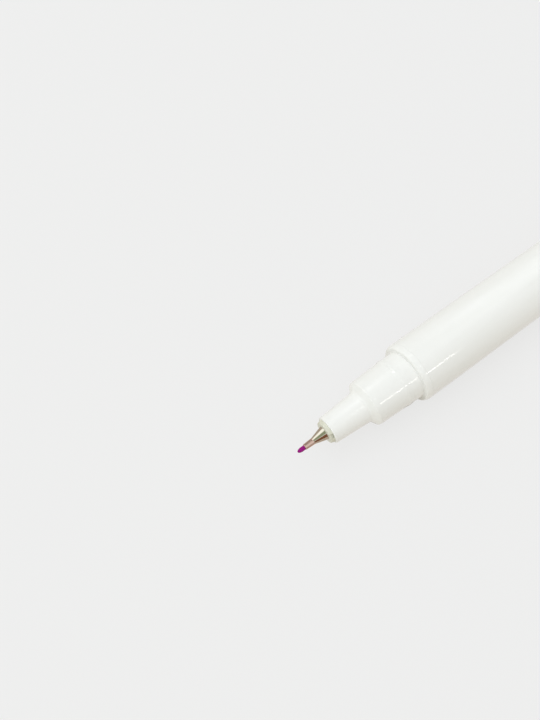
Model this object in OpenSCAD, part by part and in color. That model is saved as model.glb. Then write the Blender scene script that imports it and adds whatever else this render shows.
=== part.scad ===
// Disappearing ink marker: a fine metal-clad fibre tip in a stepped front section,
// a straight barrel with its ink reservoir, and a clip cap posted on the tail.
// The marker lies along X with its tip towards -X. The origin is on the axis, half way along the barrel.
// Positions named at_... are distances along the axis from the end of the nib.

/* [Barrel] */
// Outside diameter of the barrel, the collar and the tail flange
barrel_d = 10; // [9.6:0.1:12]
// Length of the barrel between its two end joints
barrel_len = 96; // [70:1:120]
// Thickness of the barrel wall
barrel_wall = 0.9; // [0.7:0.05:1.0]
// Number of ribs that centre the reservoir
rib_count = 6; // [3:1:8]
// Width of each rib
rib_w = 0.6; // [0.4:0.1:1.2]

/* [Front section] */
// Length of the nose from its end to the foot of the shoulder
nose_len = 6.3; // [5:0.05:9]
// Diameter of the nose at its end
nose_end_d = 4.4; // [4.3:0.02:5]
// Diameter of the nose at the shoulder
nose_root_d = 5.2; // [5:0.02:5.8]
// Reach of the soft bend at the foot of the shoulder
nose_fillet = 0.3; // [0.1:0.05:0.4]
// Edge rounding at the end of the nose
nose_round = 0.15; // [0.05:0.01:0.2]
// Length of the cap seat from the foot of the shoulder to the collar
seat_len = 8.85; // [7:0.05:12]
// Diameter of the cap seat's cone at the foot of the shoulder
seat_front_d = 7.5; // [7.3:0.02:7.9]
// Diameter of the cap seat at the collar
seat_rear_d = 8.1; // [7.94:0.02:8.2]
// Length of the conical shoulder along the axis
shoulder_len = 0.8; // [0.4:0.05:1.2]
// Reach of the soft bend at the rim of the shoulder
shoulder_round = 0.2; // [0.05:0.05:0.4]
// Thickness of the collar
collar_t = 1.05; // [1:0.05:2]
// Height of the rounding at the front edge of the collar
collar_round = 0.4; // [0.1:0.05:0.9]
// Length of that rounding along the collar
collar_crown = 1; // [0.2:0.05:1]
// Height of the snap bead on the seat
bead_h = 0.07; // [0.03:0.01:0.12]
// Length of the bead's front slope
bead_rise = 0.35; // [0.2:0.05:0.8]
// Length of the bead's rear slope
bead_fall = 0.75; // [0.3:0.05:1]
// Distance from the collar to the top of the bead
bead_back = 2.55; // [1.5:0.05:4]
// Length of the spigot inside the barrel
spigot_len = 9; // [5:0.5:14]
// Diameter of the hollow behind the nose
chamber_d = 5.6; // [4.6:0.1:6]
// Solid length between the foot of the shoulder and the hollow
chamber_back = 3; // [1:0.5:5]

/* [Writing tip] */
// Diameter of the fibre nib
nib_d = 0.7; // [0.5:0.02:0.76]
// Bare length of the nib in front of its metal tube
nib_out = 1.24; // [0.8:0.01:2]
// Length of the nib inside the reservoir
nib_dip = 11; // [5:0.5:20]
// Length of the thin metal tube
tube_len = 1.55; // [1:0.05:3]
// Outside diameter of the tube at its front
tube_front_d = 0.9; // [0.86:0.01:0.96]
// Outside diameter of the tube where the cone begins
tube_rear_d = 1.02; // [0.98:0.02:1.2]
// Length of the metal cone in front of its holder
cone_len = 2.1; // [1:0.05:3]
// Diameter of the metal shank behind the cone
shank_d = 2.2; // [1.6:0.02:2.4]
// Length of the metal shank inside the holder
shank_len = 5; // [2:0.5:6]
// Length of the holder that stands out of the nose
holder_out = 0.6; // [0.3:0.02:1]
// Diameter of the holder's front edge
holder_front_d = 3.5; // [3:0.02:3.7]
// Diameter of the holder in the nose
holder_d = 3.84; // [3.8:0.02:3.96]
// Length of the holder inside the nose
holder_in = 8; // [6.5:0.5:9]
// Width of the two air grooves along the holder
vent_w = 0.7; // [0.3:0.05:1]
// Depth of the air grooves
vent_deep = 0.25; // [0.2:0.05:0.4]
// Turn of the air grooves about the axis, from +Y towards +Z
vent_turn = 133; // [0:1:180]

/* [Ink store] */
// Diameter of the fibre reservoir
reservoir_d = 7.3; // [6.5:0.1:7.5]
// Thickness of the film wrapped round the reservoir
film_t = 0.1; // [0.05:0.01:0.2]

/* [Tail] */
// Length of the tail plug inside the barrel
plug_in = 10; // [5:0.5:14]
// Wall of the hollow tail plug
plug_wall = 0.9; // [0.6:0.1:1.4]
// Thickness of the tail flange
flange_t = 0.9; // [0.5:0.1:2]
// Edge rounding of the posting spigot
post_round = 0.8; // [0.3:0.1:1.2]

/* [Cap] */
// Outside diameter of the cap, a step under the barrel's
cap_d = 9.6; // [9.4:0.1:12]
// Length of the cap shell
cap_len = 38; // [34:0.5:50]
// Edge rounding at the mouth of the cap
mouth_round = 0.3; // [0.1:0.05:0.4]
// Bore of the inner cap
liner_bore_d = 5.9; // [5.8:0.05:6]
// Wall of the inner cap
liner_wall = 0.55; // [0.4:0.05:0.7]
// Thickness of the inner cap's closed end
liner_end_t = 1.2; // [0.8:0.1:2]
// Free length in front of the nib when the marker is capped
tip_room = 2; // [1:0.5:4]
// Bore of the cap behind the inner cap
cap_end_bore_d = 7; // [5.5:0.1:7.4]
// Length of the crown inside the cap
crown_in = 5; // [2:0.5:8]
// Thickness of the crown outside the cap
crown_t = 2; // [1.2:0.1:3]
// Edge rounding of the crown
crown_round = 0.9; // [0.3:0.1:1]

/* [Clip] */
// Length of the clip arm
clip_len = 29; // [18:0.5:32]
// Width of the clip arm
clip_w = 4; // [3:0.1:5]
// Thickness of the clip arm
clip_t = 1.3; // [0.9:0.1:1.8]
// Gap between the clip arm and the cap
clip_gap = 1.2; // [0.8:0.1:2]
// Radius of the round foot under the end of the arm
foot_r = 1.6; // [1.2:0.1:2.4]
// Rounding of the clip's shoulder at the crown
clip_round = 1; // [0.4:0.1:1.2]

/* [Fits] */
// Radial clearance of pieces that are pressed together
press_gap = 0.02; // [0.01:0.01:0.04]
// Radial clearance of the cap on its seat and on its post
cap_fit = 0.05; // [0.02:0.01:0.08]
// Gap of an end joint between two pieces
seam_gap = 0.04; // [0.02:0.01:0.1]
// Gap between the cap's mouth and the flange it is posted against
mouth_gap = 0.1; // [0.05:0.05:0.3]
// Gap between the reservoir and what holds it at both ends
core_gap = 0.15; // [0.05:0.05:0.3]
// Gap between the film and the ribs
rib_gap = 0.03; // [0.02:0.01:0.1]
// Gap between the posting spigot and the inner cap
post_room = 0.4; // [0.2:0.1:2]
// Gap at the bending line of the clip
bend_gap = 0.1; // [0.06:0.02:0.2]
// Gap between the clip's foot and the cap
foot_gap = 0.2; // [0.1:0.05:0.4]

/* [Hidden] */

round_fn = 96;
arc_steps = 8;
lead_in = 0.4;
overlap = 0.2;

// Radii
barrel_r = barrel_d / 2;
bore_r = barrel_r - barrel_wall;
spigot_r = bore_r - press_gap;
seat_front_r = seat_front_d / 2;
seat_rear_r = seat_rear_d / 2;
holder_r = holder_d / 2;
shank_r = shank_d / 2;
nib_r = nib_d / 2;
nib_bore_r = nib_r + press_gap;
core_r = reservoir_d / 2;
film_r = core_r + press_gap + film_t;
cap_r = cap_d / 2;
cap_bore_r = seat_rear_r + cap_fit;
post_r = cap_bore_r - cap_fit;
liner_bore_r = liner_bore_d / 2;
cap_end_bore_r = cap_end_bore_d / 2;

// Places along the axis from the end of the nib
at_tube = nib_out;
at_cone = at_tube + tube_len;
at_holder = at_cone + cone_len;
at_nose = at_holder + holder_out;
at_shoulder = at_nose + nose_len;
at_chamber = at_shoulder + chamber_back;
at_collar = at_shoulder + seat_len;
at_bead = at_collar - bead_back;
at_seam = at_collar + collar_t;
at_spigot_end = at_seam + spigot_len;
at_barrel = at_seam + seam_gap;
at_barrel_end = at_barrel + barrel_len;
at_plug = at_barrel_end - plug_in;
at_flange = at_barrel_end + seam_gap;
at_post = at_flange + flange_t;
at_core = at_spigot_end + core_gap;
at_core_end = at_plug - core_gap;
at_nib_end = at_core + nib_dip;
at_cap = at_post + mouth_gap;
at_liner = at_cap + seat_len + seam_gap;
at_liner_floor = at_liner + at_shoulder + tip_room;
at_liner_end = at_liner_floor + liner_end_t;
at_post_end = at_liner - post_room;
at_cap_end = at_cap + cap_len;
at_crown = at_cap_end + seam_gap;
at_crown_end = at_crown + crown_t;
at_clip_root = at_crown - bend_gap;
at_clip_end = at_clip_root - clip_len;

// The clip is turned so that its lower outer corner is level with the underside of the barrel
clip_in_r = cap_r + clip_gap;
clip_out_r = clip_in_r + clip_t;
clip_corner_r = norm([clip_out_r, clip_w / 2]);
clip_from_down = acos(barrel_r / clip_corner_r) + atan2(clip_w / 2, clip_out_r);

// Radius of the slightly conical cap seat at a place along the axis
function seat_r(at) =
    seat_front_r + (seat_rear_r - seat_front_r) * (at - at_shoulder) / seat_len;

// Points of an arc in the plane of radius and axis, angle 0 pointing outwards
function arc(centre_r, centre_at, r, from, to) =
    [for (i = [0:arc_steps])
        let (t = from + (to - from) * i / arc_steps)
        [centre_r + r * cos(t), centre_at + r * sin(t)]];

// A convex outer edge that faces the tip, and one that faces the tail
function front_edge(r, at, edge) = arc(r - edge, at + edge, edge, -90, 0);
function rear_edge(r, at, edge) = arc(r - edge, at - edge, edge, 0, 90);

// A convex outer edge that faces the tip and is rounded further along the axis than inwards
function crowned_edge(r, at, length, height) =
    [for (i = [0:arc_steps])
        let (t = 90 * i / arc_steps)
        [r - height * (1 - sin(t)), at + length * (1 - cos(t))]];

// A soft bend at a corner of an outline, from a reach before the corner to a reach after it
function bend(before, corner, after, reach) =
    let (start = corner + reach * (before - corner) / norm(before - corner),
         end = corner + reach * (after - corner) / norm(after - corner))
    [for (i = [0:arc_steps])
        let (t = i / arc_steps)
        (1 - t) * (1 - t) * start + 2 * t * (1 - t) * corner + t * t * end];

// The bead's low hump on the seat, steeper towards the tip
function bead() =
    [for (i = [-arc_steps:arc_steps])
        let (slope = i < 0 ? bead_rise : bead_fall,
             at = at_bead + slope * i / arc_steps)
        [seat_r(at) + bead_h * pow(cos(90 * i / arc_steps), 2), at]];

// Turns an outline of [radius, place] points about the axis of the marker
module lathe(outline) {
    translate([-at_barrel - barrel_len / 2, 0, 0])
        rotate([0, 90, 0])
            rotate_extrude($fn = round_fn)
                polygon(outline);
}

// A plain tube between two places along the axis
module ring(outer_r, inner_r, from, to) {
    lathe([[inner_r, from], [outer_r, from], [outer_r, to], [inner_r, to]]);
}

// A box along the axis whose width is centred, standing out radially at a turn from +Y towards +Z
module key(turn, from, to, inner_r, outer_r, width) {
    translate([-at_barrel - barrel_len / 2, 0, 0])
        rotate([turn, 0, 0])
            translate([from, inner_r, -width / 2])
                cube([to - from, outer_r - inner_r, width]);
}

module barrel() {
    color("whitesmoke")
        union() {
            ring(barrel_r, bore_r, at_barrel, at_barrel_end);
            for (i = [0:rib_count - 1])
                key(360 * i / rib_count, at_core, at_core_end,
                    film_r + rib_gap, bore_r + overlap, rib_w);
        }
}

module front_section() {
    nose_bore_r = holder_r + press_gap;
    nose_end_r = nose_end_d / 2;
    at_rim = at_shoulder + shoulder_len;
    foot = [nose_root_d / 2, at_shoulder];
    rim = [seat_r(at_rim), at_rim];
    collar_foot = [seat_rear_r, at_collar];
    edge_length = min(collar_crown, collar_t - seam_gap);
    edge_height = min(collar_round, barrel_r - seat_rear_r);
    color("white")
        lathe(concat(
            [[nose_bore_r, at_nose]],
            front_edge(nose_end_r, at_nose, nose_round),
            bend([nose_end_r, at_nose], foot, rim, nose_fillet),
            bend(foot, rim, collar_foot, shoulder_round),
            bead(),
            [collar_foot],
            crowned_edge(barrel_r, at_collar, edge_length, edge_height),
            [[barrel_r, at_seam], [spigot_r, at_seam],
             [spigot_r, at_spigot_end - lead_in], [spigot_r - lead_in, at_spigot_end],
             [chamber_d / 2, at_spigot_end], [chamber_d / 2, at_chamber],
             [nose_bore_r, at_chamber]]));
}

module nib_holder() {
    at_shank_end = at_holder + shank_len;
    at_holder_end = at_nose + holder_in;
    shank_bore_r = shank_r + press_gap;
    color("lightgray")
        difference() {
            lathe([[shank_bore_r, at_holder], [holder_front_d / 2, at_holder],
                   [holder_r, at_nose], [holder_r, at_holder_end],
                   [nib_bore_r, at_holder_end],
                   [nib_bore_r, at_shank_end + seam_gap],
                   [shank_bore_r, at_shank_end + seam_gap]]);
            for (side = [0, 180])
                key(vent_turn + side, at_holder - overlap, at_holder_end + overlap,
                    holder_r - vent_deep, holder_r + overlap, vent_w);
        }
}

module tip_ferrule() {
    color("silver")
        lathe([[nib_bore_r, at_tube], [tube_front_d / 2, at_tube],
               [tube_rear_d / 2, at_cone], [shank_r, at_holder],
               [shank_r, at_holder + shank_len], [nib_bore_r, at_holder + shank_len]]);
}

module fibre_nib() {
    bullet = [for (i = [0:arc_steps])
        let (t = 90 * i / arc_steps)
        [nib_r * sin(t), nib_d * (1 - cos(t))]];
    color("purple")
        lathe(concat(bullet, [[nib_r, at_nib_end], [0, at_nib_end]]));
}

module ink_reservoir() {
    at_pocket_end = at_nib_end + core_gap;
    color("mediumpurple")
        lathe([[nib_bore_r, at_core], [core_r, at_core], [core_r, at_core_end],
               [0, at_core_end], [0, at_pocket_end], [nib_bore_r, at_pocket_end]]);
}

module reservoir_film() {
    color("gainsboro")
        ring(film_r, core_r + press_gap, at_core, at_core_end);
}

module tail_plug() {
    hollow_r = post_r - plug_wall;
    color("white")
        lathe(concat(
            [[hollow_r, at_plug], [spigot_r - lead_in, at_plug], [spigot_r, at_plug + lead_in],
             [spigot_r, at_flange], [barrel_r, at_flange], [barrel_r, at_post], [post_r, at_post]],
            rear_edge(post_r, at_post_end, post_round),
            [[0, at_post_end], [0, at_post_end - plug_wall], [hollow_r, at_post_end - plug_wall]]));
}

module cap_shell() {
    at_step = at_liner_end + seam_gap;
    color("rebeccapurple")
        lathe(concat(
            [[cap_bore_r, at_cap]],
            front_edge(cap_r, at_cap, mouth_round),
            [[cap_r, at_cap_end], [cap_end_bore_r, at_cap_end],
             [cap_end_bore_r, at_step], [cap_bore_r, at_step]]));
}

module inner_cap() {
    liner_r = liner_bore_r + liner_wall;
    liner_grip_r = cap_bore_r - press_gap;
    color("lavender")
        lathe([[liner_bore_r, at_liner], [liner_r, at_liner], [liner_r, at_liner_floor],
               [liner_grip_r, at_liner_floor], [liner_grip_r, at_liner_end], [0, at_liner_end],
               [0, at_liner_floor], [liner_bore_r, at_liner_floor]]);
}

module cap_crown() {
    crown_plug_r = cap_end_bore_r - press_gap;
    at_plug_end = at_cap_end - crown_in;
    color("rebeccapurple")
        union() {
            lathe(concat(
                [[0, at_plug_end], [crown_plug_r - lead_in, at_plug_end],
                 [crown_plug_r, at_plug_end + lead_in], [crown_plug_r, at_crown], [cap_r, at_crown]],
                rear_edge(cap_r, at_crown_end, crown_round),
                [[0, at_crown_end]]));
            clip_shoulder();
        }
}

// The part of the crown that reaches out to the clip, with its outer corner rounded
module clip_shoulder() {
    root_r = cap_r - crown_round - overlap;
    at_back = at_crown_end - overlap;
    clip_frame()
        linear_extrude(clip_w)
            polygon(concat(
                [[at_back, root_r], [at_crown, root_r], [at_crown, clip_out_r]],
                [for (i = [0:arc_steps])
                    let (t = 90 * i / arc_steps)
                    [at_back - clip_round * (1 - sin(t)), clip_out_r - clip_round * (1 - cos(t))]]));
}

// Places an outline of [place, radius] points, drawn up to the clip's width, at the clip's turn
module clip_frame() {
    translate([-at_barrel - barrel_len / 2, 0, 0])
        rotate([-90 - clip_from_down, 0, 0])
            translate([0, 0, -clip_w / 2])
                children();
}

module pocket_clip() {
    at_foot = at_clip_end + foot_r;
    foot_centre_r = cap_r + foot_gap + foot_r;
    foot_half = acos((foot_centre_r - clip_in_r) / foot_r);
    color("rebeccapurple")
        clip_frame()
            linear_extrude(clip_w)
                polygon(concat(
                    [[at_clip_root, clip_in_r], [at_clip_root, clip_out_r],
                     [at_clip_end + clip_t, clip_out_r], [at_clip_end, clip_in_r]],
                    [for (i = [0:arc_steps])
                        let (t = -90 + foot_half * (2 * i / arc_steps - 1))
                        [at_foot + foot_r * cos(t), foot_centre_r + foot_r * sin(t)]]));
}

barrel();
front_section();
nib_holder();
tip_ferrule();
fibre_nib();
ink_reservoir();
reservoir_film();
tail_plug();
cap_shell();
inner_cap();
cap_crown();
pocket_clip();
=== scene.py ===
"""Looks of a disappearing ink marker.

White gloss barrel, stepped front section, metal-clad fibre tip and a purple cap posted on the tail.
Everything is in metres, and lengths are written as millimetres times MM.
Places along the marker are taken from the boxes of the fixed frame, X running from the tip to the tail.
"""

import math

import bmesh
import bpy
from mathutils import Matrix, Vector


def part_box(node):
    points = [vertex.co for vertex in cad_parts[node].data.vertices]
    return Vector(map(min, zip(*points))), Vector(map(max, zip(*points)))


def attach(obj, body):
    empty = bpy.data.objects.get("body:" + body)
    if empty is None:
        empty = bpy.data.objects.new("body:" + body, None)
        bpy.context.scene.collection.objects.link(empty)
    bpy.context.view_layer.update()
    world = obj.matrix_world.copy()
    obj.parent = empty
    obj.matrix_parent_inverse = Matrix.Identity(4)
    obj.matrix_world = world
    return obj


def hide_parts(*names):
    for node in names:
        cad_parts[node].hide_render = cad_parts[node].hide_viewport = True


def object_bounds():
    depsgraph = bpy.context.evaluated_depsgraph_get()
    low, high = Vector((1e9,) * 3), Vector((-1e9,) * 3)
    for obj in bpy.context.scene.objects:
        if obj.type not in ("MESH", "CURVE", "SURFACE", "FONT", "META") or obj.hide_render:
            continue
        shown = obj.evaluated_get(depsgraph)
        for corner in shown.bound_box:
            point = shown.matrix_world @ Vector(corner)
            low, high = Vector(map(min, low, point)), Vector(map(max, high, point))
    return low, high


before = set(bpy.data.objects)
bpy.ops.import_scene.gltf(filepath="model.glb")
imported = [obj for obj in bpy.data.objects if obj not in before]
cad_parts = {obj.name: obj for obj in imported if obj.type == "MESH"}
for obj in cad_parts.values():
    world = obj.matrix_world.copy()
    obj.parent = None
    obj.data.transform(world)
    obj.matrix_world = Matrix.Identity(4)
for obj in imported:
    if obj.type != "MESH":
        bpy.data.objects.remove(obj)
cad_low, cad_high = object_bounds()

MM = 0.001
TAU = 2 * math.pi

# Picture and camera
PHOTO_W, PHOTO_H = 540, 720
FOCAL_PX = 600.0
SENSOR_MM = 36.0
CENTRE_PIXEL = (270.0, 320.0)
NIB_PIXEL = (297.7, 452.25)
NIB_DEPTH = 87.31 * MM
VIEW_ELEVATION = math.radians(65.16)
VIEW_TURN = math.radians(-35.38)
NEAREST = 0.005
FARTHEST = 20.0

# Front section: sizes that its box does not give
NOSE_LEN = 6.3 * MM
NOSE_END_R = 2.2 * MM
NOSE_ROOT_R = 2.6 * MM
NOSE_ROUND = 0.15 * MM
NOSE_FILLET = 0.3 * MM
SHOULDER_LEN = 0.8 * MM
SHOULDER_ROUND = 0.12 * MM
SEAT_LEN = 8.85 * MM
SEAT_FRONT_R = 3.75 * MM
SEAT_REAR_R = 4.05 * MM
SEAT_CROWN = 0.9 * MM
BEAD_H = 0.07 * MM
BEAD_RISE = 0.35 * MM
BEAD_FALL = 0.75 * MM
BEAD_BACK = 2.55 * MM
BEAD_BEND = 0.06 * MM
COLLAR_T = 1.05 * MM
COLLAR_ROUND = 0.4 * MM
COLLAR_CROWN = 1.0 * MM
COLLAR_FILLET = 0.06 * MM
CHAMBER_R = 2.8 * MM
CHAMBER_BACK = 3.0 * MM

# Nib holder, metal tip, nib and ink core
HOLDER_FRONT_R = 1.75 * MM
HOLDER_R = 1.92 * MM
VENT_W = 0.7 * MM
VENT_DEEP = 0.25 * MM
VENT_PAST = 0.6 * MM
VENT_TURN = math.radians(133)
TUBE_FRONT_R = 0.45 * MM
TUBE_REAR_R = 0.51 * MM
TUBE_LEN = 1.55 * MM
TUBE_RIM = 0.06 * MM
SHANK_R = 1.1 * MM
SHANK_LEN = 5.0 * MM
NIB_R = 0.35 * MM
NIB_POINT_LEN = 2 * NIB_R
NIB_FLUTES = 30
NIB_FLUTE_DEEP = 0.014 * MM
CORE_R = 3.65 * MM
CORE_POCKET_SPARE = 0.15 * MM

# Barrel and tail plug
BARREL_WALL = 0.9 * MM
RIB_COUNT = 6
RIB_W = 0.6 * MM
RIB_GAP = 0.03 * MM
RIB_SUNK = 0.2 * MM
POST_ROUND = 0.8 * MM
PLUG_WALL = 0.9 * MM
FLANGE_T = 0.9 * MM

# Cap, liner, crown and clip
MOUTH_ROUND = 0.3 * MM
CAP_END_BORE_R = 3.5 * MM
LINER_BORE_R = 2.95 * MM
LINER_WALL = 0.55 * MM
LINER_END_T = 1.2 * MM
CROWN_T = 2.0 * MM
CROWN_ROUND = 0.9 * MM
CLIP_W = 4.0 * MM
CLIP_T = 1.3 * MM
CLIP_GAP = 1.2 * MM
CLIP_EDGE = 0.32 * MM
CLIP_ROOT_ROUND = 1.0 * MM
CLIP_ROOT_BACK = 0.2 * MM
FOOT_R = 1.6 * MM
FOOT_GAP = 0.2 * MM

# Fits and fine edges
PRESS_GAP = 0.02 * MM
CAP_FIT = 0.05 * MM
SEAM_EDGE = 0.03 * MM
SEAM_CLOSE = 0.035 * MM
FINE_EDGE = 0.08 * MM

# Fineness of the meshes
ROUND_SEGMENTS = 192
FLUTE_SEGMENTS = 8
SEAM_STEPS = 4
RIM_STEPS = 5
MOUTH_STEPS = 6
FOOT_STEPS = 16
BEVEL_STEPS = 4
BEVEL_ANGLE = math.radians(40)
SHARP_ANGLE = math.radians(28)
MERGE_GAP = 1e-7
BRACE = 0.03 * MM
BRACE_MOST = 0.2

# Places along the axis, from the frame
nib_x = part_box("fibre_nib")[0].x
nib_end_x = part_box("fibre_nib")[1].x
tube_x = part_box("tip_ferrule")[0].x
holder_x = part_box("nib_holder")[0].x
holder_end_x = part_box("nib_holder")[1].x
nose_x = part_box("front_section")[0].x
spigot_end_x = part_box("front_section")[1].x
shoulder_x = nose_x + NOSE_LEN
collar_x = shoulder_x + SEAT_LEN
seam_x = collar_x + COLLAR_T
barrel_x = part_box("barrel")[0].x
barrel_end_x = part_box("barrel")[1].x
barrel_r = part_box("barrel")[1].z
bore_r = barrel_r - BARREL_WALL
core_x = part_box("ink_reservoir")[0].x
core_end_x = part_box("ink_reservoir")[1].x
film_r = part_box("reservoir_film")[1].z
plug_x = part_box("tail_plug")[0].x
post_end_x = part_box("tail_plug")[1].x
cap_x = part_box("cap_shell")[0].x
cap_end_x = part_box("cap_shell")[1].x
cap_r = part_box("cap_shell")[1].z
liner_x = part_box("inner_cap")[0].x
liner_end_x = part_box("inner_cap")[1].x
crown_end_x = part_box("cap_crown")[1].x
clip_end_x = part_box("pocket_clip")[0].x
clip_root_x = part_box("pocket_clip")[1].x
floor_z = cad_low.z
cap_bore_r = SEAT_REAR_R + CAP_FIT
clip_in_r = cap_r + CLIP_GAP
clip_out_r = clip_in_r + CLIP_T


# Outlines of turned pieces, as (x, radius) points

def arc(centre_x, centre_r, radius, start, end, steps=10):
    """Points of an arc, angle 0 pointing outwards and 90 towards the tail, in degrees."""
    angles = [math.radians(start + (end - start) * i / steps) for i in range(steps + 1)]
    return [(centre_x + radius * math.sin(a), centre_r + radius * math.cos(a)) for a in angles]


def front_edge(x, r, edge, steps=10):
    """A rounded outer edge whose flat side faces the tip."""
    return arc(x + edge, r - edge, edge, -90, 0, steps)


def crowned_edge(x, r, length, height, steps=14):
    """An outer edge that faces the tip and is rounded further along the axis than inwards."""
    angles = [math.pi / 2 * i / steps for i in range(steps + 1)]
    return [(x + length * (1 - math.cos(a)), r - height * (1 - math.sin(a))) for a in angles]


def corner(before, point, after, reach_in, reach_out, steps=8):
    """A smooth bend at a point of an outline, from a reach before it to a reach after it."""
    point = Vector(point)
    start = point + (Vector(before) - point).normalized() * reach_in
    end = point + (Vector(after) - point).normalized() * reach_out
    shares = [i / steps for i in range(steps + 1)]
    return [tuple(start.lerp(point, t).lerp(point.lerp(end, t), t)) for t in shares]


def rear_edge(x, r, edge, steps=10):
    """A rounded outer edge whose flat side faces the tail."""
    return arc(x - edge, r - edge, edge, 0, 90, steps)


def step_fillet(x, r, fillet, steps=6):
    """A hollow fillet at the root of a step that faces the tip."""
    return arc(x - fillet, r + fillet, fillet, 180, 90, steps)


def closed(points):
    """The same outline, ending where it began."""
    return points + points[:1]


def braced(points):
    """The same outline with points near the ends of long stretches, so that these shade as straight."""
    result = []
    for (x0, r0), (x1, r1) in zip(points, points[1:]):
        result.append((x0, r0))
        share = BRACE / max(math.hypot(x1 - x0, r1 - r0), BRACE)
        if share < BRACE_MOST:
            for t in (share, 1 - share):
                result.append((x0 + (x1 - x0) * t, r0 + (r1 - r0) * t))
    return result + points[-1:]


def seat_radius(x):
    """Radius of the slightly conical cap seat."""
    return SEAT_FRONT_R + (SEAT_REAR_R - SEAT_FRONT_R) * (x - shoulder_x) / SEAT_LEN


def bead_points():
    """The low snap bead on the seat, steeper towards the tip."""
    crest_x = collar_x - BEAD_BACK
    foot = (crest_x - BEAD_RISE, seat_radius(crest_x - BEAD_RISE))
    crest = (crest_x, seat_radius(crest_x) + BEAD_H)
    tail = (crest_x + BEAD_FALL, seat_radius(crest_x + BEAD_FALL))
    before = (shoulder_x, seat_radius(shoulder_x))
    after = (collar_x, seat_radius(collar_x))
    return (corner(before, foot, crest, BEAD_BEND, BEAD_BEND)
            + corner(foot, crest, tail, BEAD_BEND, BEAD_FALL / 3)
            + corner(crest, tail, after, BEAD_FALL / 3, BEAD_FALL / 3))


# Geometry Nodes helpers

def add_socket(tree, name, kind, default=None, out=False):
    """Adds a named input or output to a node tree and returns its identifier."""
    item = tree.interface.new_socket(name, in_out="OUTPUT" if out else "INPUT", socket_type=kind)
    if default is not None:
        item.default_value = default
    return item.identifier


def math_node(tree, operation, a, b=None):
    """A math node whose inputs are sockets or numbers, and its result."""
    node = tree.nodes.new("ShaderNodeMath")
    node.operation = operation
    for socket, value in zip(node.inputs, (a, b)):
        if value is None:
            continue
        if isinstance(value, (int, float)):
            socket.default_value = value
        else:
            tree.links.new(value, socket)
    return node.outputs[0]


def finish_tree(tree, geometry, material):
    """Ends a tree in Realize Instances and Set Material."""
    realize = tree.nodes.new("GeometryNodeRealizeInstances")
    paint = tree.nodes.new("GeometryNodeSetMaterial")
    out = tree.nodes.new("NodeGroupOutput")
    tree.links.new(geometry, realize.inputs["Geometry"])
    tree.links.new(realize.outputs["Geometry"], paint.inputs["Geometry"])
    tree.links.new(material, paint.inputs["Material"])
    tree.links.new(paint.outputs["Geometry"], out.inputs[0])


def separate(tree, vector):
    """The X, Y and Z of a vector socket."""
    node = tree.nodes.new("ShaderNodeSeparateXYZ")
    tree.links.new(vector, node.inputs[0])
    return node.outputs


def outline_point(tree, outline, index):
    """The X, Y and Z of one point of an outline."""
    sample = tree.nodes.new("GeometryNodeSampleIndex")
    sample.data_type = "FLOAT_VECTOR"
    sample.domain = "POINT"
    place = tree.nodes.new("GeometryNodeInputPosition")
    tree.links.new(outline, sample.inputs["Geometry"])
    tree.links.new(place.outputs[0], sample.inputs["Value"])
    tree.links.new(math_node(tree, "ROUND", index), sample.inputs["Index"])
    return separate(tree, sample.outputs["Value"])


def fluted(tree, radius, angle, flutes, flute_deep):
    """A radius that dips in even flutes round the axis, and never below 0."""
    wave = math_node(tree, "COSINE", math_node(tree, "MULTIPLY", angle, flutes))
    half_deep = math_node(tree, "MULTIPLY", flute_deep, 0.5)
    dip = math_node(tree, "MULTIPLY", math_node(tree, "SUBTRACT", 1.0, wave), half_deep)
    return math_node(tree, "MAXIMUM", math_node(tree, "SUBTRACT", radius, dip), 0.0)


def about_axis(tree, along, radius, angle):
    """The place at a radius and an angle about the X axis."""
    place = tree.nodes.new("ShaderNodeCombineXYZ")
    tree.links.new(along, place.inputs["X"])
    for axis, wave in (("Y", "COSINE"), ("Z", "SINE")):
        offset = math_node(tree, "MULTIPLY", radius, math_node(tree, wave, angle))
        tree.links.new(offset, place.inputs[axis])
    return place.outputs[0]


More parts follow.
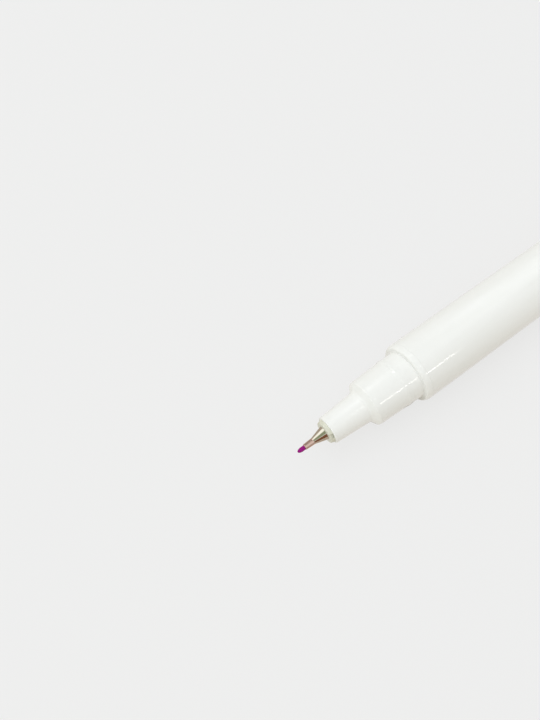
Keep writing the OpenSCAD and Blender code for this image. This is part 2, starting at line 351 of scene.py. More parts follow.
def make_turned_tree():
    """Turns an outline mesh about X, with an optional row of shallow lengthwise flutes."""
    tree = bpy.data.node_groups.new("turned_piece", "GeometryNodeTree")
    ids = {"outline": add_socket(tree, "Outline", "NodeSocketGeometry"),
           "segments": add_socket(tree, "Segments", "NodeSocketInt", ROUND_SEGMENTS),
           "flutes": add_socket(tree, "Flutes", "NodeSocketInt", 0),
           "flute_deep": add_socket(tree, "Flute depth", "NodeSocketFloat", 0.0),
           "finish": add_socket(tree, "Finish", "NodeSocketMaterial")}
    add_socket(tree, "Piece", "NodeSocketGeometry", out=True)
    given = tree.nodes.new("NodeGroupInput")
    outline, segments, flutes, flute_deep, finish = given.outputs[:5]

    count = tree.nodes.new("GeometryNodeAttributeDomainSize")
    tree.links.new(outline, count.inputs["Geometry"])
    rows = count.outputs["Point Count"]
    last_row = math_node(tree, "SUBTRACT", rows, 1)
    columns = math_node(tree, "ADD", segments, 1)
    grid = tree.nodes.new("GeometryNodeMeshGrid")
    sizes = {"Size X": segments, "Size Y": last_row, "Vertices X": columns, "Vertices Y": rows}
    for name, value in sizes.items():
        tree.links.new(value, grid.inputs[name])

    on_grid = separate(tree, tree.nodes.new("GeometryNodeInputPosition").outputs[0])
    column = math_node(tree, "ADD", on_grid["X"], math_node(tree, "DIVIDE", segments, 2))
    row = math_node(tree, "ADD", on_grid["Y"], math_node(tree, "DIVIDE", last_row, 2))
    angle = math_node(tree, "MULTIPLY", math_node(tree, "DIVIDE", column, segments), TAU)
    point = outline_point(tree, outline, row)
    radius = fluted(tree, point["Z"], angle, flutes, flute_deep)

    move = tree.nodes.new("GeometryNodeSetPosition")
    tree.links.new(grid.outputs["Mesh"], move.inputs["Geometry"])
    tree.links.new(about_axis(tree, point["X"], radius, angle), move.inputs["Position"])
    merge = tree.nodes.new("GeometryNodeMergeByDistance")
    merge.inputs["Distance"].default_value = MERGE_GAP
    tree.links.new(move.outputs["Geometry"], merge.inputs["Geometry"])
    finish_tree(tree, merge.outputs["Geometry"], finish)
    return tree, ids


def make_ring_tree():
    """Repeats one rib evenly about the X axis."""
    tree = bpy.data.node_groups.new("ring_of_ribs", "GeometryNodeTree")
    ids = {"rib": add_socket(tree, "Rib", "NodeSocketGeometry"),
           "count": add_socket(tree, "Count", "NodeSocketInt", RIB_COUNT),
           "finish": add_socket(tree, "Finish", "NodeSocketMaterial")}
    add_socket(tree, "Ribs", "NodeSocketGeometry", out=True)
    given = tree.nodes.new("NodeGroupInput")
    rib, count, finish = given.outputs[:3]
    line = tree.nodes.new("GeometryNodeMeshLine")
    line.inputs["Offset"].default_value = (0, 0, 0)
    tree.links.new(count, line.inputs["Count"])
    index = tree.nodes.new("GeometryNodeInputIndex")
    turn = math_node(tree, "MULTIPLY", math_node(tree, "DIVIDE", index.outputs[0], count), TAU)
    spin = tree.nodes.new("ShaderNodeCombineXYZ")
    tree.links.new(turn, spin.inputs["X"])
    copies = tree.nodes.new("GeometryNodeInstanceOnPoints")
    tree.links.new(line.outputs["Mesh"], copies.inputs["Points"])
    tree.links.new(rib, copies.inputs["Instance"])
    tree.links.new(spin.outputs[0], copies.inputs["Rotation"])
    finish_tree(tree, copies.outputs["Instances"], finish)
    return tree, ids


turned_tree, turned_ids = make_turned_tree()
ring_tree, ring_ids = make_ring_tree()


def link_object(name, mesh):
    """A new object at the origin holding a mesh."""
    piece = bpy.data.objects.new(name, mesh)
    bpy.context.scene.collection.objects.link(piece)
    return piece


def make_plain(piece):
    """Turns a piece's modifiers into its mesh of one finish, closes it and points its faces outwards."""
    bpy.context.view_layer.update()
    graph = bpy.context.evaluated_depsgraph_get()
    mesh = bpy.data.meshes.new_from_object(piece.evaluated_get(graph), depsgraph=graph)
    piece.modifiers.clear()
    piece.data = mesh
    finish = next(filter(None, mesh.materials), None)
    mesh.materials.clear()
    mesh.materials.append(finish)
    work = bmesh.new()
    work.from_mesh(mesh)
    bmesh.ops.remove_doubles(work, verts=work.verts, dist=MERGE_GAP)
    bmesh.ops.dissolve_degenerate(work, edges=work.edges, dist=MERGE_GAP)
    bmesh.ops.recalc_face_normals(work, faces=work.faces)
    work.to_mesh(mesh)
    work.free()
    mesh.shade_smooth()
    mesh.set_sharp_from_angle(angle=SHARP_ANGLE)
    return piece


def turned(name, outline, finish, segments=ROUND_SEGMENTS, flutes=0, flute_deep=0.0):
    """A solid of revolution about the marker's axis."""
    outline = braced(outline)
    mesh = bpy.data.meshes.new(name)
    links = [(i, i + 1) for i in range(len(outline) - 1)]
    mesh.from_pydata([(x, 0, r) for x, r in outline], links, [])
    piece = link_object(name, mesh)
    modifier = piece.modifiers.new("turn", "NODES")
    modifier.node_group = turned_tree
    modifier[turned_ids["segments"]] = segments
    modifier[turned_ids["flutes"]] = flutes
    modifier[turned_ids["flute_deep"]] = flute_deep
    modifier[turned_ids["finish"]] = finish
    return make_plain(piece)


def box_mesh(name, low, high):
    """A closed box between two corners."""
    mesh = bpy.data.meshes.new(name)
    work = bmesh.new()
    size = Vector(high) - Vector(low)
    middle = (Vector(high) + Vector(low)) / 2
    place = Matrix.Translation(middle) @ Matrix.Diagonal((*size, 1))
    bmesh.ops.create_cube(work, size=1.0, matrix=place)
    work.to_mesh(mesh)
    work.free()
    return mesh


def combine(piece, tool, operation):
    """Adds a tool's shape to a piece or cuts it away, and removes the tool."""
    modifier = piece.modifiers.new("combine", "BOOLEAN")
    modifier.operation = operation
    modifier.solver = "EXACT"
    modifier.object = tool
    make_plain(piece)
    bpy.data.objects.remove(tool)


def settle(piece, body, slot, *nodes):
    """Says what a piece rides on and which solids it stands for; its slot is not used."""
    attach(piece, body)
    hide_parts(*nodes)


# Materials

class Finish:
    """A node material with a Principled shader and Object coordinates."""

    def __init__(self, name):
        self.material = bpy.data.materials.new(name)
        self.material.use_nodes = True
        self.tree = self.material.node_tree
        self.shader = self.tree.nodes["Principled BSDF"]
        self.coords = self.tree.nodes.new("ShaderNodeTexCoord").outputs["Object"]
        self.bump_end = None

    def set(self, **values):
        """Sets plain values on the shader, their names written with underscores."""
        for name, value in values.items():
            self.shader.inputs[name.replace("_", " ")].default_value = value

    def mapped(self, scale):
        """Object coordinates stretched by a scale per axis."""
        node = self.tree.nodes.new("ShaderNodeMapping")
        node.inputs["Scale"].default_value = scale
        self.tree.links.new(self.coords, node.inputs["Vector"])
        return node.outputs[0]

    def noise(self, scale, detail=3.0, rough=0.5, vector=None):
        """A noise pattern on Object coordinates, or on a vector made from them."""
        node = self.tree.nodes.new("ShaderNodeTexNoise")
        node.inputs["Scale"].default_value = scale
        node.inputs["Detail"].default_value = detail
        node.inputs["Roughness"].default_value = rough
        self.tree.links.new(vector or self.coords, node.inputs["Vector"])
        return node.outputs["Fac"]

    def ramp(self, value, stops):
        """A colour ramp of (place, colour) stops."""
        node = self.tree.nodes.new("ShaderNodeValToRGB")
        node.color_ramp.elements[0].position = stops[0][0]
        node.color_ramp.elements[0].color = (*stops[0][1], 1)
        node.color_ramp.elements[1].position = stops[-1][0]
        node.color_ramp.elements[1].color = (*stops[-1][1], 1)
        for place, colour in stops[1:-1]:
            node.color_ramp.elements.new(place).color = (*colour, 1)
        self.tree.links.new(value, node.inputs["Fac"])
        return node.outputs["Color"]

    def scaled(self, value, low, high):
        """A 0 to 1 value mapped to a range."""
        node = self.tree.nodes.new("ShaderNodeMapRange")
        node.inputs["To Min"].default_value = low
        node.inputs["To Max"].default_value = high
        self.tree.links.new(value, node.inputs["Value"])
        return node.outputs[0]

    def along(self, start, end):
        """0 to 1 between two places along the axis."""
        split = self.tree.nodes.new("ShaderNodeSeparateXYZ")
        self.tree.links.new(self.coords, split.inputs[0])
        node = self.tree.nodes.new("ShaderNodeMapRange")
        node.inputs["From Min"].default_value = start
        node.inputs["From Max"].default_value = end
        self.tree.links.new(split.outputs["X"], node.inputs["Value"])
        return node.outputs[0]

    def mixed(self, share, a, b):
        """Colour a, and colour b where share is 1."""
        node = self.tree.nodes.new("ShaderNodeMix")
        node.data_type = "RGBA"
        colours = [s for s in node.inputs if s.type == "RGBA"]
        for socket, value in zip(colours, (a, b)):
            if isinstance(value, tuple):
                socket.default_value = (*value, 1)
            else:
                self.tree.links.new(value, socket)
        self.tree.links.new(share, node.inputs["Factor"])
        return next(s for s in node.outputs if s.type == "RGBA")

    def colour(self, value):
        self.tree.links.new(value, self.shader.inputs["Base Color"])

    def roughness(self, value):
        self.tree.links.new(value, self.shader.inputs["Roughness"])

    def bump(self, value, depth):
        """Adds one layer of surface relief, depth in metres."""
        node = self.tree.nodes.new("ShaderNodeBump")
        node.inputs["Distance"].default_value = depth
        self.tree.links.new(value, node.inputs["Height"])
        if self.bump_end:
            self.tree.links.new(self.bump_end, node.inputs["Normal"])
        self.bump_end = node.outputs[0]
        self.tree.links.new(self.bump_end, self.shader.inputs["Normal"])


def moulded_plastic(name, dark, light, rough_low, rough_high):
    """Glossy moulded plastic: faint flow marks, orange peel and slight wear in the gloss."""
    finish = Finish(name)
    flow = finish.noise(scale=1.0, detail=2.0, vector=finish.mapped((60, 420, 420)))
    finish.colour(finish.ramp(flow, [(0.3, dark), (0.7, light)]))
    wear = finish.noise(scale=900, detail=5.0, rough=0.6)
    finish.roughness(finish.scaled(wear, rough_low, rough_high))
    finish.bump(finish.noise(scale=700, detail=2.0), depth=0.0015 * MM)
    finish.bump(finish.noise(scale=4500, detail=2.0), depth=0.0003 * MM)
    finish.set(IOR=1.49)
    return finish.material


def natural_plastic():
    """Uncoloured, slightly milky plastic with a satin surface."""
    finish = Finish("natural_plastic")
    cloud = finish.noise(scale=1500)
    finish.colour(finish.ramp(cloud, [(0.3, (0.67, 0.67, 0.56)), (0.7, (0.71, 0.71, 0.61))]))
    finish.roughness(finish.scaled(finish.noise(scale=2600), low=0.28, high=0.46))
    finish.bump(finish.noise(scale=3200), depth=0.0015 * MM)
    finish.set(IOR=1.5)
    return finish.material


def drawn_nickel():
    """Bright drawn metal with fine lengthwise draw lines, stained by ink near the nib."""
    finish = Finish("drawn_nickel")
    lines = finish.noise(scale=1.0, detail=4.0, rough=0.6, vector=finish.mapped((500, 16000, 16000)))
    metal = finish.ramp(lines, [(0.25, (0.58, 0.53, 0.45)), (0.75, (0.72, 0.68, 0.6))])
    stain = finish.along(start=tube_x + TUBE_LEN * 1.1, end=tube_x + TUBE_LEN * 0.9)
    finish.colour(finish.mixed(stain, metal, (0.68, 0.5, 0.42)))
    finish.roughness(finish.scaled(lines, low=0.05, high=0.13))
    finish.bump(lines, depth=0.0008 * MM)
    finish.set(Metallic=1.0)
    return finish.material


def inked_fibre():
    """Bonded fibre soaked with purple ink, streaked lengthwise."""
    finish = Finish("inked_fibre")
    strands = finish.noise(scale=1.0, detail=4.0, rough=0.6, vector=finish.mapped((900, 14000, 14000)))
    finish.colour(finish.ramp(strands, [(0.3, (0.22, 0.003, 0.145)), (0.75, (0.45, 0.008, 0.3))]))
    finish.roughness(finish.scaled(strands, low=0.5, high=0.75))
    finish.bump(strands, depth=0.01 * MM)
    finish.set(Specular_IOR_Level=0.2, Sheen_Weight=0.06, Sheen_Roughness=0.4,
               Sheen_Tint=(0.9, 0.2, 0.75, 1))
    return finish.material


def clear_film():
    """Thin wrapped film, wrinkled lengthwise."""
    finish = Finish("clear_film")
    folds = finish.noise(scale=1.0, vector=finish.mapped((40, 900, 900)))
    finish.colour(finish.ramp(folds, [(0.3, (0.6, 0.52, 0.62)), (0.7, (0.72, 0.66, 0.74))]))
    finish.roughness(finish.scaled(folds, low=0.12, high=0.3))
    finish.bump(folds, depth=0.02 * MM)
    return finish.material


white = moulded_plastic("white_plastic", dark=(0.88, 0.885, 0.865), light=(0.91, 0.915, 0.9),
                        rough_low=0.07, rough_high=0.13)
purple = moulded_plastic("purple_plastic", dark=(0.13, 0.03, 0.24), light=(0.165, 0.042, 0.29),
                         rough_low=0.16, rough_high=0.3)
natural = natural_plastic()
nickel = drawn_nickel()
fibre = inked_fibre()
film = clear_film()


# Pieces of the body

def make_barrel():
    front_x = barrel_x - SEAM_CLOSE
    outline = closed(
        [(front_x, bore_r)]
        + front_edge(front_x, barrel_r, SEAM_EDGE, SEAM_STEPS)
        + rear_edge(barrel_end_x, barrel_r, SEAM_EDGE, SEAM_STEPS)
        + [(barrel_end_x, bore_r)])
    settle(turned("barrel_shell", outline, white), "body", "white_plastic", "barrel")


def make_ribs():
    """Inner ribs that centre the reservoir, sunk a little into the barrel's wall."""
    low = (core_x, film_r + RIB_GAP, -RIB_W / 2)
    high = (core_end_x, bore_r + RIB_SUNK, RIB_W / 2)
    rib = link_object("barrel_ribs", box_mesh("barrel_ribs", low, high))
    modifier = rib.modifiers.new("repeat", "NODES")
    modifier.node_group = ring_tree
    modifier[ring_ids["count"]] = RIB_COUNT
    modifier[ring_ids["finish"]] = white
    make_plain(rib)
    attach(rib, "body")


def make_front_section():
    nose_bore_r = HOLDER_R + PRESS_GAP
    spigot_r = bore_r - PRESS_GAP
    chamber_x = shoulder_x + CHAMBER_BACK
    nose_end = (nose_x + NOSE_ROUND, NOSE_END_R)
    root = (shoulder_x, NOSE_ROOT_R)
    rim = (shoulder_x + SHOULDER_LEN, seat_radius(shoulder_x + SHOULDER_LEN))
    seat_end = (collar_x, SEAT_REAR_R)
    outline = closed(
        [(nose_x, nose_bore_r)]
        + front_edge(nose_x, NOSE_END_R, NOSE_ROUND, MOUTH_STEPS)
        + corner(nose_end, root, rim, NOSE_FILLET, NOSE_FILLET)
        + corner(root, rim, seat_end, SHOULDER_ROUND, SEAT_CROWN)
        + bead_points()
        + step_fillet(collar_x, seat_radius(collar_x - COLLAR_FILLET), COLLAR_FILLET)
        + crowned_edge(collar_x, barrel_r, COLLAR_CROWN, COLLAR_ROUND)
        + rear_edge(seam_x, barrel_r, SEAM_EDGE, SEAM_STEPS)
        + [(seam_x, spigot_r), (spigot_end_x, spigot_r),
           (spigot_end_x, CHAMBER_R), (chamber_x, CHAMBER_R), (chamber_x, nose_bore_r)])
    settle(turned("front_section_shell", outline, white), "body", "white_plastic", "front_section")


def make_nib_holder():
    shank_bore_r = SHANK_R + PRESS_GAP
    nib_bore_r = NIB_R + PRESS_GAP
    shank_end_x = holder_x + SHANK_LEN + PRESS_GAP
    outline = closed(
        [(holder_x, shank_bore_r)]
        + front_edge(holder_x, HOLDER_FRONT_R, FINE_EDGE, RIM_STEPS)
        + [(nose_x, HOLDER_R), (holder_end_x, HOLDER_R), (holder_end_x, nib_bore_r),
           (shank_end_x, nib_bore_r), (shank_end_x, shank_bore_r)])
    holder = turned("holder_ring", outline, natural)
    low = (holder_x - VENT_PAST, HOLDER_R - VENT_DEEP, -VENT_W / 2)
    high = (holder_end_x + VENT_PAST, HOLDER_R + VENT_PAST, VENT_W / 2)
    for side in (0, math.pi):
        cutter = link_object("vent_cutter", box_mesh("vent_cutter", low, high))
        cutter.data.transform(Matrix.Rotation(VENT_TURN + side, 4, "X"))
        combine(holder, cutter, "DIFFERENCE")
    settle(holder, "body", "natural_plastic", "nib_holder")


def make_ferrule():
    nib_bore_r = NIB_R + PRESS_GAP
    cone_x = tube_x + TUBE_LEN
    outline = closed(
        [(tube_x, nib_bore_r)]
        + front_edge(tube_x, TUBE_FRONT_R, TUBE_RIM, RIM_STEPS)
        + [(cone_x, TUBE_REAR_R), (holder_x, SHANK_R),
           (holder_x + SHANK_LEN, SHANK_R), (holder_x + SHANK_LEN, nib_bore_r)])
    settle(turned("ferrule", outline, nickel), "body", "nickel", "tip_ferrule")


def make_nib():
    steps = 14
    bullet = [(nib_x + NIB_POINT_LEN * (1 - math.cos(a)), NIB_R * math.sin(a))
              for a in (math.pi / 2 * i / steps for i in range(steps + 1))]
    outline = bullet + [(nib_end_x, NIB_R), (nib_end_x, 0)]
    nib = turned("nib", outline, fibre, NIB_FLUTES * FLUTE_SEGMENTS, NIB_FLUTES, NIB_FLUTE_DEEP)
    settle(nib, "body", "inked_fibre", "fibre_nib")


def make_ink_store():
    pocket_r = NIB_R + PRESS_GAP
    pocket_x = nib_end_x + CORE_POCKET_SPARE
    outline = ([(pocket_x, 0), (pocket_x, pocket_r), (core_x, pocket_r)]
               + front_edge(core_x, CORE_R, FINE_EDGE, SEAM_STEPS)
               + rear_edge(core_end_x, CORE_R, FINE_EDGE, SEAM_STEPS)
               + [(core_end_x, 0)])
    settle(turned("reservoir", outline, fibre), "body", "inked_fibre", "ink_reservoir")
    film_in_r = CORE_R + PRESS_GAP
    wrap = closed([(core_x, film_in_r), (core_x, film_r),
                   (core_end_x, film_r), (core_end_x, film_in_r)])
    settle(turned("film_wrap", wrap, film), "body", "clear_film", "reservoir_film")


def make_tail_plug():
    post_r = cap_bore_r - CAP_FIT
    hollow_r = post_r - PLUG_WALL
    spigot_r = bore_r - PRESS_GAP
    flange_x = barrel_end_x + (barrel_x - seam_x)
    post_x = flange_x + FLANGE_T
    floor_x = post_end_x - PLUG_WALL
    outline = ([(floor_x, 0), (floor_x, hollow_r), (plug_x, hollow_r),
                (plug_x, spigot_r), (flange_x, spigot_r)]
               + front_edge(flange_x, barrel_r, SEAM_EDGE, SEAM_STEPS)
               + rear_edge(post_x, barrel_r, SEAM_EDGE, SEAM_STEPS)
               + [(post_x, post_r)]
               + rear_edge(post_end_x, post_r, POST_ROUND)
               + [(post_end_x, 0)])
    settle(turned("tail_plug_shell", outline, white), "body", "white_plastic", "tail_plug")


# Pieces of the cap

def clip_space():
    """Turns a shape drawn with its radial direction along +Y to where the clip is."""
    corner_r = math.hypot(clip_out_r, CLIP_W / 2)
    from_down = math.acos(barrel_r / corner_r) + math.atan2(CLIP_W / 2, clip_out_r)
    return Matrix.Rotation(-math.pi / 2 - from_down, 4, "X")


def bevelled_plate(name, outline, finish):
    """An outline of (x, radius) points, as wide as the clip and turned to its place, with rounded edges."""
    half = CLIP_W / 2
    count = len(outline)
    mesh = bpy.data.meshes.new(name)
    points = [(x, r, side * half) for side in (-1, 1) for x, r in outline]
    sides = [(i, (i + 1) % count, count + (i + 1) % count, count + i) for i in range(count)]
    ends = [tuple(range(count - 1, -1, -1)), tuple(range(count, 2 * count))]
    mesh.from_pydata(points, [], sides + ends)
    mesh.materials.append(finish)
    plate = link_object(name, mesh)
    bevel = plate.modifiers.new("edges", "BEVEL")
    bevel.width = CLIP_EDGE
    bevel.segments = BEVEL_STEPS
    bevel.limit_method = "ANGLE"
    bevel.angle_limit = BEVEL_ANGLE
    make_plain(plate)
    plate.data.transform(clip_space())
    return plate


def make_clip():
    foot_centre_r = cap_r + FOOT_GAP + FOOT_R
    foot_x = clip_end_x + FOOT_R
    half = math.degrees(math.acos((foot_centre_r - clip_in_r) / FOOT_R))
    foot = arc(foot_x, foot_centre_r, FOOT_R, 180 + half, 180 - half, FOOT_STEPS)
    outline = [(clip_root_x, clip_in_r), (clip_root_x, clip_out_r),
               (clip_end_x + CLIP_T, clip_out_r), (clip_end_x, clip_in_r)] + foot
    settle(bevelled_plate("clip_arm", outline, purple), "clip", "purple_plastic", "pocket_clip")


def make_crown():
    crown_x = crown_end_x - CROWN_T
    plug_r = CAP_END_BORE_R - PRESS_GAP
    plug_start_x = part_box("cap_crown")[0].x
    outline = ([(plug_start_x, 0), (plug_start_x, plug_r), (crown_x, plug_r)]
               + front_edge(crown_x, cap_r, SEAM_EDGE, SEAM_STEPS)
               + rear_edge(crown_end_x, cap_r, CROWN_ROUND)
               + [(crown_end_x, 0)])
    crown = turned("crown", outline, purple)
    back_x = crown_end_x - CLIP_ROOT_BACK
    root_r = cap_r - CROWN_ROUND - CLIP_ROOT_BACK
    back_corner = arc(back_x - CLIP_ROOT_ROUND, clip_out_r - CLIP_ROOT_ROUND, CLIP_ROOT_ROUND, 0, 90, 8)
    root = [(back_x, root_r), (crown_x, root_r), (crown_x, clip_out_r)] + back_corner
    shoulder = bevelled_plate("clip_shoulder", root, purple)
    combine(crown, shoulder, "UNION")
    settle(crown, "cap", "purple_plastic", "cap_crown")


def make_cap_shell():
    step_x = liner_end_x + (barrel_x - seam_x)
    outline = closed(
        [(cap_x, cap_bore_r)]
        + front_edge(cap_x, cap_r, MOUTH_ROUND, MOUTH_STEPS)
        + rear_edge(cap_end_x, cap_r, SEAM_EDGE, SEAM_STEPS)
        + [(cap_end_x, CAP_END_BORE_R), (step_x, CAP_END_BORE_R), (step_x, cap_bore_r)])
    settle(turned("cap_tube", outline, purple), "cap", "purple_plastic", "cap_shell")


def make_inner_cap():
    liner_r = LINER_BORE_R + LINER_WALL
    grip_r = cap_bore_r - PRESS_GAP
    floor_x = liner_end_x - LINER_END_T
    outline = [(floor_x, 0), (floor_x, LINER_BORE_R), (liner_x, LINER_BORE_R), (liner_x, liner_r),
               (floor_x, liner_r), (floor_x, grip_r), (liner_end_x, grip_r), (liner_end_x, 0)]
    settle(turned("liner", outline, natural), "cap", "natural_plastic", "inner_cap")


# Studio

PALE = (0.863, 0.863, 0.863)
PAPER = (0.8, 0.8, 0.79)
TABLE_GLOW = (0.873, 0.873, 0.873)
WARM_BOUNCE = (0.61, 0.525, 0.4)
WORLD_LIGHT = (0.98, 1.0, 0.98)
WORLD_LEVEL = 0.66
PLAIN_LIGHT = (1.0, 1.0, 1.0)
FLOOR_HALF = 3.0
FLAT_SHARE = 0.8
SHADOW_AREA = 0.2
EVEN_AREA = 0.5
SHADE_REACH = 3 * MM
LAMP_REACH = 2.0
CARD_LIFT = 0.05 * MM


def bare_tree(holder):
    """The node tree of a material or world, emptied."""
    holder.use_nodes = True
    holder.node_tree.nodes.clear()
    return holder.node_tree


def show(tree, shader, output="ShaderNodeOutputMaterial"):
    """Ends a tree in its output."""
    tree.links.new(shader, tree.nodes.new(output).inputs["Surface"])


def glow_node(tree, colour, strength=None):
    """A glow of one colour, its strength taken from a socket where one is given."""
    node = tree.nodes.new("ShaderNodeEmission")
    node.inputs["Color"].default_value = (*colour, 1)
    if strength:
        tree.links.new(strength, node.inputs["Strength"])
    return node.outputs[0]


def surround(tree, colour, level=1.0):
    """The light of a plain world."""
    node = tree.nodes.new("ShaderNodeBackground")
    node.inputs["Color"].default_value = (*colour, 1)
    node.inputs["Strength"].default_value = level
    return node.outputs[0]


def mix_shaders(tree, share, first, second):
    """The first shader, and the second where share is 1."""
    node = tree.nodes.new("ShaderNodeMixShader")
    tree.links.new(share, node.inputs["Fac"])
    tree.links.new(first, node.inputs[1])
    tree.links.new(second, node.inputs[2])
    return node.outputs[0]


def seen_ray(tree):
    """1 for rays from the camera, in mirrors and through glass."""
    path = tree.nodes.new("ShaderNodeLightPath")
    total = path.outputs["Is Camera Ray"]
    for name in ("Is Glossy Ray", "Is Transmission Ray"):
        total = math_node(tree, "MAXIMUM", total, path.outputs[name])
    return total


def flat_share(tree):
    """How much of the floor only glows: part of it round the marker's shadow, and all of it further out."""
    place = tree.nodes.new("ShaderNodeTexCoord")
    reach = tree.nodes.new("ShaderNodeVectorMath")
    reach.operation = "LENGTH"
    fade = tree.nodes.new("ShaderNodeMapRange")
    fade.inputs["From Min"].default_value = SHADOW_AREA
    fade.inputs["From Max"].default_value = EVEN_AREA
    fade.inputs["To Min"].default_value = FLAT_SHARE
    tree.links.new(place.outputs["Object"], reach.inputs[0])
    tree.links.new(reach.outputs["Value"], fade.inputs["Value"])
    return fade.outputs["Result"]


def floor_paper():
    """Pale paper that glows evenly where it is seen, lights the marker warmly, and takes a faint shadow."""
    material = bpy.data.materials.new("floor_paper")
    tree = bare_tree(material)
    paper = tree.nodes.new("ShaderNodeBsdfDiffuse")
    paper.inputs["Color"].default_value = (*PAPER, 1)
    shade = tree.nodes.new("ShaderNodeAmbientOcclusion")
    shade.inputs["Distance"].default_value = SHADE_REACH
    path = tree.nodes.new("ShaderNodeLightPath")
    level = math_node(tree, "MAXIMUM", shade.outputs["AO"], path.outputs["Is Camera Ray"])
    warm = glow_node(tree, WARM_BOUNCE, shade.outputs["AO"])
    flat = glow_node(tree, TABLE_GLOW, level)
    glow = mix_shaders(tree, seen_ray(tree), warm, flat)
    show(tree, mix_shaders(tree, flat_share(tree), paper.outputs[0], glow))
    return material


def make_floor():
    low, high = -FLOOR_HALF, FLOOR_HALF
    corners = [(low, low), (high, low), (high, high), (low, high)]
    mesh = bpy.data.meshes.new("floor")
    mesh.from_pydata([(x, y, floor_z) for x, y in corners], [], [(0, 1, 2, 3)])
    mesh.materials.append(floor_paper())
    floor = link_object("floor", mesh)


def make_world():
    """Even soft light, and a pale surround where it is seen."""
    world = bpy.data.worlds.new("studio")
    bpy.context.scene.world = world
    tree = bare_tree(world)
    light = surround(tree, WORLD_LIGHT, WORLD_LEVEL)
    seen = surround(tree, PALE)
    show(tree, mix_shaders(tree, seen_ray(tree), light, seen), "ShaderNodeOutputWorld")


def make_light(name, place, target, size, power, colour=PLAIN_LIGHT):
    """A rectangular lamp at a place, facing a target, its long side kept level."""
    data = bpy.data.lights.new(name, "AREA")
    data.shape = "RECTANGLE"
    data.size, data.size_y = size
    data.energy = power
    data.color = colour
    lamp = bpy.data.objects.new(name, data)
    bpy.context.scene.collection.objects.link(lamp)
    lamp.location = place
    lamp.rotation_euler = (Vector(target) - Vector(place)).to_track_quat("-Z", "Y").to_euler()
    lamp.visible_camera = False
    return lamp


def hang_card(name, mesh, material):
    """Hangs a card in the studio: it only shows as a reflection, and is never sampled as a lamp."""
    material.cycles.emission_sampling = "NONE"
    mesh.materials.append(material)
    card = link_object(name, mesh)
    card.visible_camera = False
    card.visible_diffuse = False
    card.visible_transmission = False
    card.visible_shadow = False


def make_card(name, colour, corners):
    """A card of one colour, its corners given as metres from the tip."""
    tip = Vector((nib_x, 0, 0))
    mesh = bpy.data.meshes.new(name)
    mesh.from_pydata([tip + Vector(place) for place in corners], [], [(0, 1, 2, 3)])
    material = bpy.data.materials.new(name)
    tree = bare_tree(material)
    show(tree, glow_node(tree, colour))
    hang_card(name, mesh, material)


def make_strip(name, start_way, end_way, width, power, colour=PLAIN_LIGHT):
    """A narrow lamp seen only as a streak of gloss, running between two directions from the collar."""
    middle = Vector((collar_x, 0, 0))
    start = middle + Vector(start_way) * LAMP_REACH
    end = middle + Vector(end_way) * LAMP_REACH
    place = (start + end) / 2
    lamp = make_light(name, place, middle, ((end - start).length, width), power, colour)
    inward = (middle - place).normalized()
    along = (end - start).normalized()
    across = (-inward).cross(along)
    lamp.rotation_euler = Matrix((along, across, -inward)).transposed().to_euler()
    lamp.visible_diffuse = False


def glow_sheet(name, start_way, end_way, columns, rows):
    """A sheet of points that hold the light they add, running between two directions from the collar."""
    collar = Vector((collar_x, 0, 0))
    start = collar + Vector(start_way) * LAMP_REACH
    end = collar + Vector(end_way) * LAMP_REACH
    across = Vector(start_way).cross(Vector(end_way)).normalized()
    points = [start.lerp(end, share) + across * offset for offset, light in rows for share, left in columns]
    wide = len(columns)
    firsts = [i * wide + j for i in range(len(rows) - 1) for j in range(wide - 1)]
    mesh = bpy.data.meshes.new(name)
    mesh.from_pydata(points, [], [(k, k + 1, k + wide + 1, k + wide) for k in firsts])
    glow = mesh.attributes.new("glow", "FLOAT", "POINT")
    glow.data.foreach_set("value", [light * left for offset, light in rows for share, left in columns])
    return mesh


def make_glow(name, start_way, end_way, columns, rows):
    """A soft glow that only shows in gloss, running between two directions from the collar.

    columns gives shares of the way between the two and how much of the light is left there.
    rows gives offsets across that way, in metres, and the light that is added there."""
    material = bpy.data.materials.new(name)
    tree = bare_tree(material)
    level = tree.nodes.new("ShaderNodeAttribute")
    level.attribute_name = "glow"
    clear = tree.nodes.new("ShaderNodeBsdfTransparent")
    both = tree.nodes.new("ShaderNodeAddShader")
    tree.links.new(glow_node(tree, PLAIN_LIGHT, level.outputs["Fac"]), both.inputs[0])
    tree.links.new(clear.outputs[0], both.inputs[1])
    show(tree, both.outputs[0])
    hang_card(name, glow_sheet(name, start_way, end_way, columns, rows), material)


def make_glows():
    """The soft windows that the white gloss shows: a broad one, its bright near part, and one in front."""
    middle_only = ((0, 0), (0.5, 1), (1, 0))
    make_glow("window", (0.2, 0.598, 0.774), (0.68, 0.447, 0.579),
              columns=((0, 0.7), (0.4, 0.6), (0.7, 2), (1, 2)),
              rows=((-1.7, 0), (-0.7, 0.487), (0.3, 0.487), (1.1, 0)))
    make_glow("near_window", (0.05, 0.559, 0.828), (0.35, 0.524, 0.777), middle_only,
              rows=((-0.45, 0), (-0.1, 2), (0.1, 2), (0.5, 0)))
    make_glow("front_window", (0.09, -0.405, 0.91), (0.23, -0.396, 0.889), middle_only,
              rows=((-0.75, 0), (-0.3, 0.45), (0.4, 0.45), (0.75, 0)))


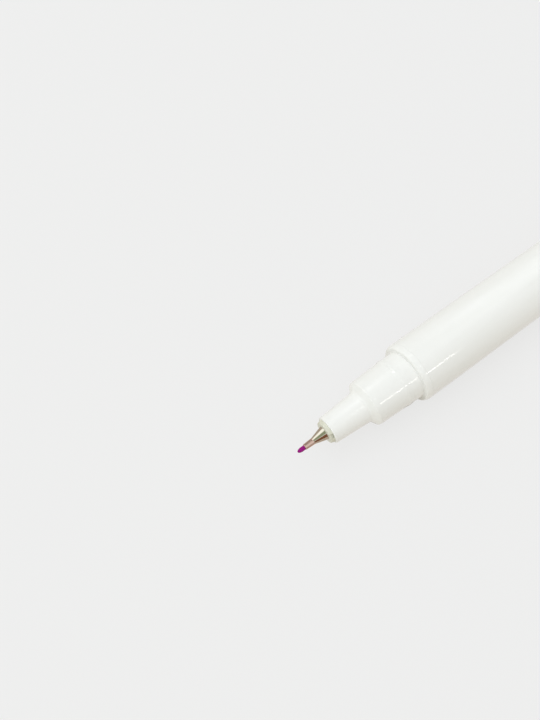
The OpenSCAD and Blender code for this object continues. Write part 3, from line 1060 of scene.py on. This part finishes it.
def make_lights():
    """A key light from above, narrow streaks for the gloss, and weak fills from the side and the front."""
    tip = Vector((nib_x, 0, 0))
    key = make_light("key", tip + Vector((-0.17, 0.3, 0.77)), tip, size=(1.2, 0.9), power=3.8)
    make_strip("streak", (0.232, -0.737, 0.636), (0.445, -0.677, 0.585),
               width=0.08, power=1.4, colour=(1.0, 0.98, 0.93))
    make_strip("nose_streak", (0.14, -0.28, 0.95), (0.18, -0.285, 0.941), width=0.1, power=0.3)
    make_strip("overhead", (-0.075, 0.42, 0.905), (-0.02, 0.83, 0.556), width=0.14, power=3.3)
    fill = make_light("warm_fill", tip + Vector((0.05, -0.5, 0.06)), tip,
                      size=(0.5, 0.2), power=0.16, colour=(1.0, 0.72, 0.43))
    front = make_light("front_fill", tip + Vector((-0.71, 0.0, 0.07)), tip,
                       size=(0.4, 0.3), power=0.78, colour=(0.87, 1.0, 1.0))
    for lamp in (key, fill, front):
        lamp.visible_glossy = False


def make_cards():
    """What the gloss mirrors: mostly the metal tip's surroundings, and a painted shadow on the floor under
    the seat.
    """
    table = floor_z + CARD_LIFT
    collar = collar_x - nib_x
    before_collar = collar - 2 * MM
    seat_side = -5 * MM
    make_card("softbox", (1.42, 1.46, 1.4), [
        (-0.03, 0.275, 0.108), (-0.15, 0.235, 0.106), (-0.18, 0.108, 0.211), (-0.075, 0.126, 0.257)])
    make_card("dark_side", (0.25, 0.11, 0.055), [
        (-0.006, -0.3, -0.004), (-0.15, -0.24, -0.004), (-0.18, -0.15, 0.186), (-0.06, -0.18, 0.23)])
    make_card("dark_camera", (0.36, 0.42, 0.28), [
        (-0.06, 0.09, 0.28), (-0.165, 0.078, 0.237), (-0.165, -0.12, 0.22), (-0.06, -0.135, 0.26)])
    make_card("tube_under", (0.36, 0.34, 0.31), [
        (0.0, -0.3, 0.0), (0.045, -0.3, 0.0), (0.04, -0.24, 0.115), (0.0, -0.24, 0.115)])
    make_card("tube_shade", (0.4, 0.37, 0.36), [
        (0.0, 0.3, 0.03), (0.045, 0.29, 0.03), (0.037, 0.1, 0.28), (0.0, 0.11, 0.28)])
    make_card("far_table", (0.55, 0.48, 0.42), [
        (-0.012, 0.0035, table), (0.0055, 0.0035, table), (0.0065, 0.06, 0.018), (-0.02, 0.06, 0.018)])
    # A near-black sheet on the floor under the seat is a painted shadow: the seat and the collar's foot
    # mirror it as dark shade.
    make_card("under_seat_painted_shadow", (0.05, 0.03, 0.02), [
        (before_collar, seat_side, table), (collar, seat_side, table),
        (collar, 0, table), (before_collar, 0, table)])
    make_card("near_table", (0.6, 0.5, 0.42), [
        (-0.012, -0.0035, table), (0.0045, -0.0035, table), (0.011, -0.06, table), (-0.012, -0.06, table)])


def make_camera():
    data = bpy.data.cameras.new("camera")
    camera = bpy.data.objects.new("camera", data)
    bpy.context.scene.collection.objects.link(camera)
    bpy.context.scene.camera = camera
    data.sensor_width = SENSOR_MM
    data.lens = SENSOR_MM * FOCAL_PX / PHOTO_H
    data.shift_x = (PHOTO_W / 2 - CENTRE_PIXEL[0]) / PHOTO_H
    data.shift_y = (CENTRE_PIXEL[1] - PHOTO_H / 2) / PHOTO_H
    data.clip_start = NEAREST
    data.clip_end = FARTHEST
    turn = Matrix.Rotation(VIEW_TURN, 3, "Z") @ Matrix.Rotation(math.pi / 2 - VIEW_ELEVATION, 3, "X")
    right, up, back = turn.col
    across = (NIB_PIXEL[0] - CENTRE_PIXEL[0]) / FOCAL_PX * NIB_DEPTH
    down = (NIB_PIXEL[1] - CENTRE_PIXEL[1]) / FOCAL_PX * NIB_DEPTH
    nib = Vector((nib_x, 0, 0))
    camera.location = nib - right * across + up * down + back * NIB_DEPTH
    camera.rotation_euler = turn.to_euler()


make_camera()
make_barrel()
make_ribs()
make_front_section()
make_nib_holder()
make_ferrule()
make_nib()
make_ink_store()
make_tail_plug()
make_cap_shell()
make_inner_cap()
make_crown()
make_clip()
make_floor()
make_world()
make_lights()
make_glows()
make_cards()

bpy.context.scene.view_settings.view_transform = "Standard"
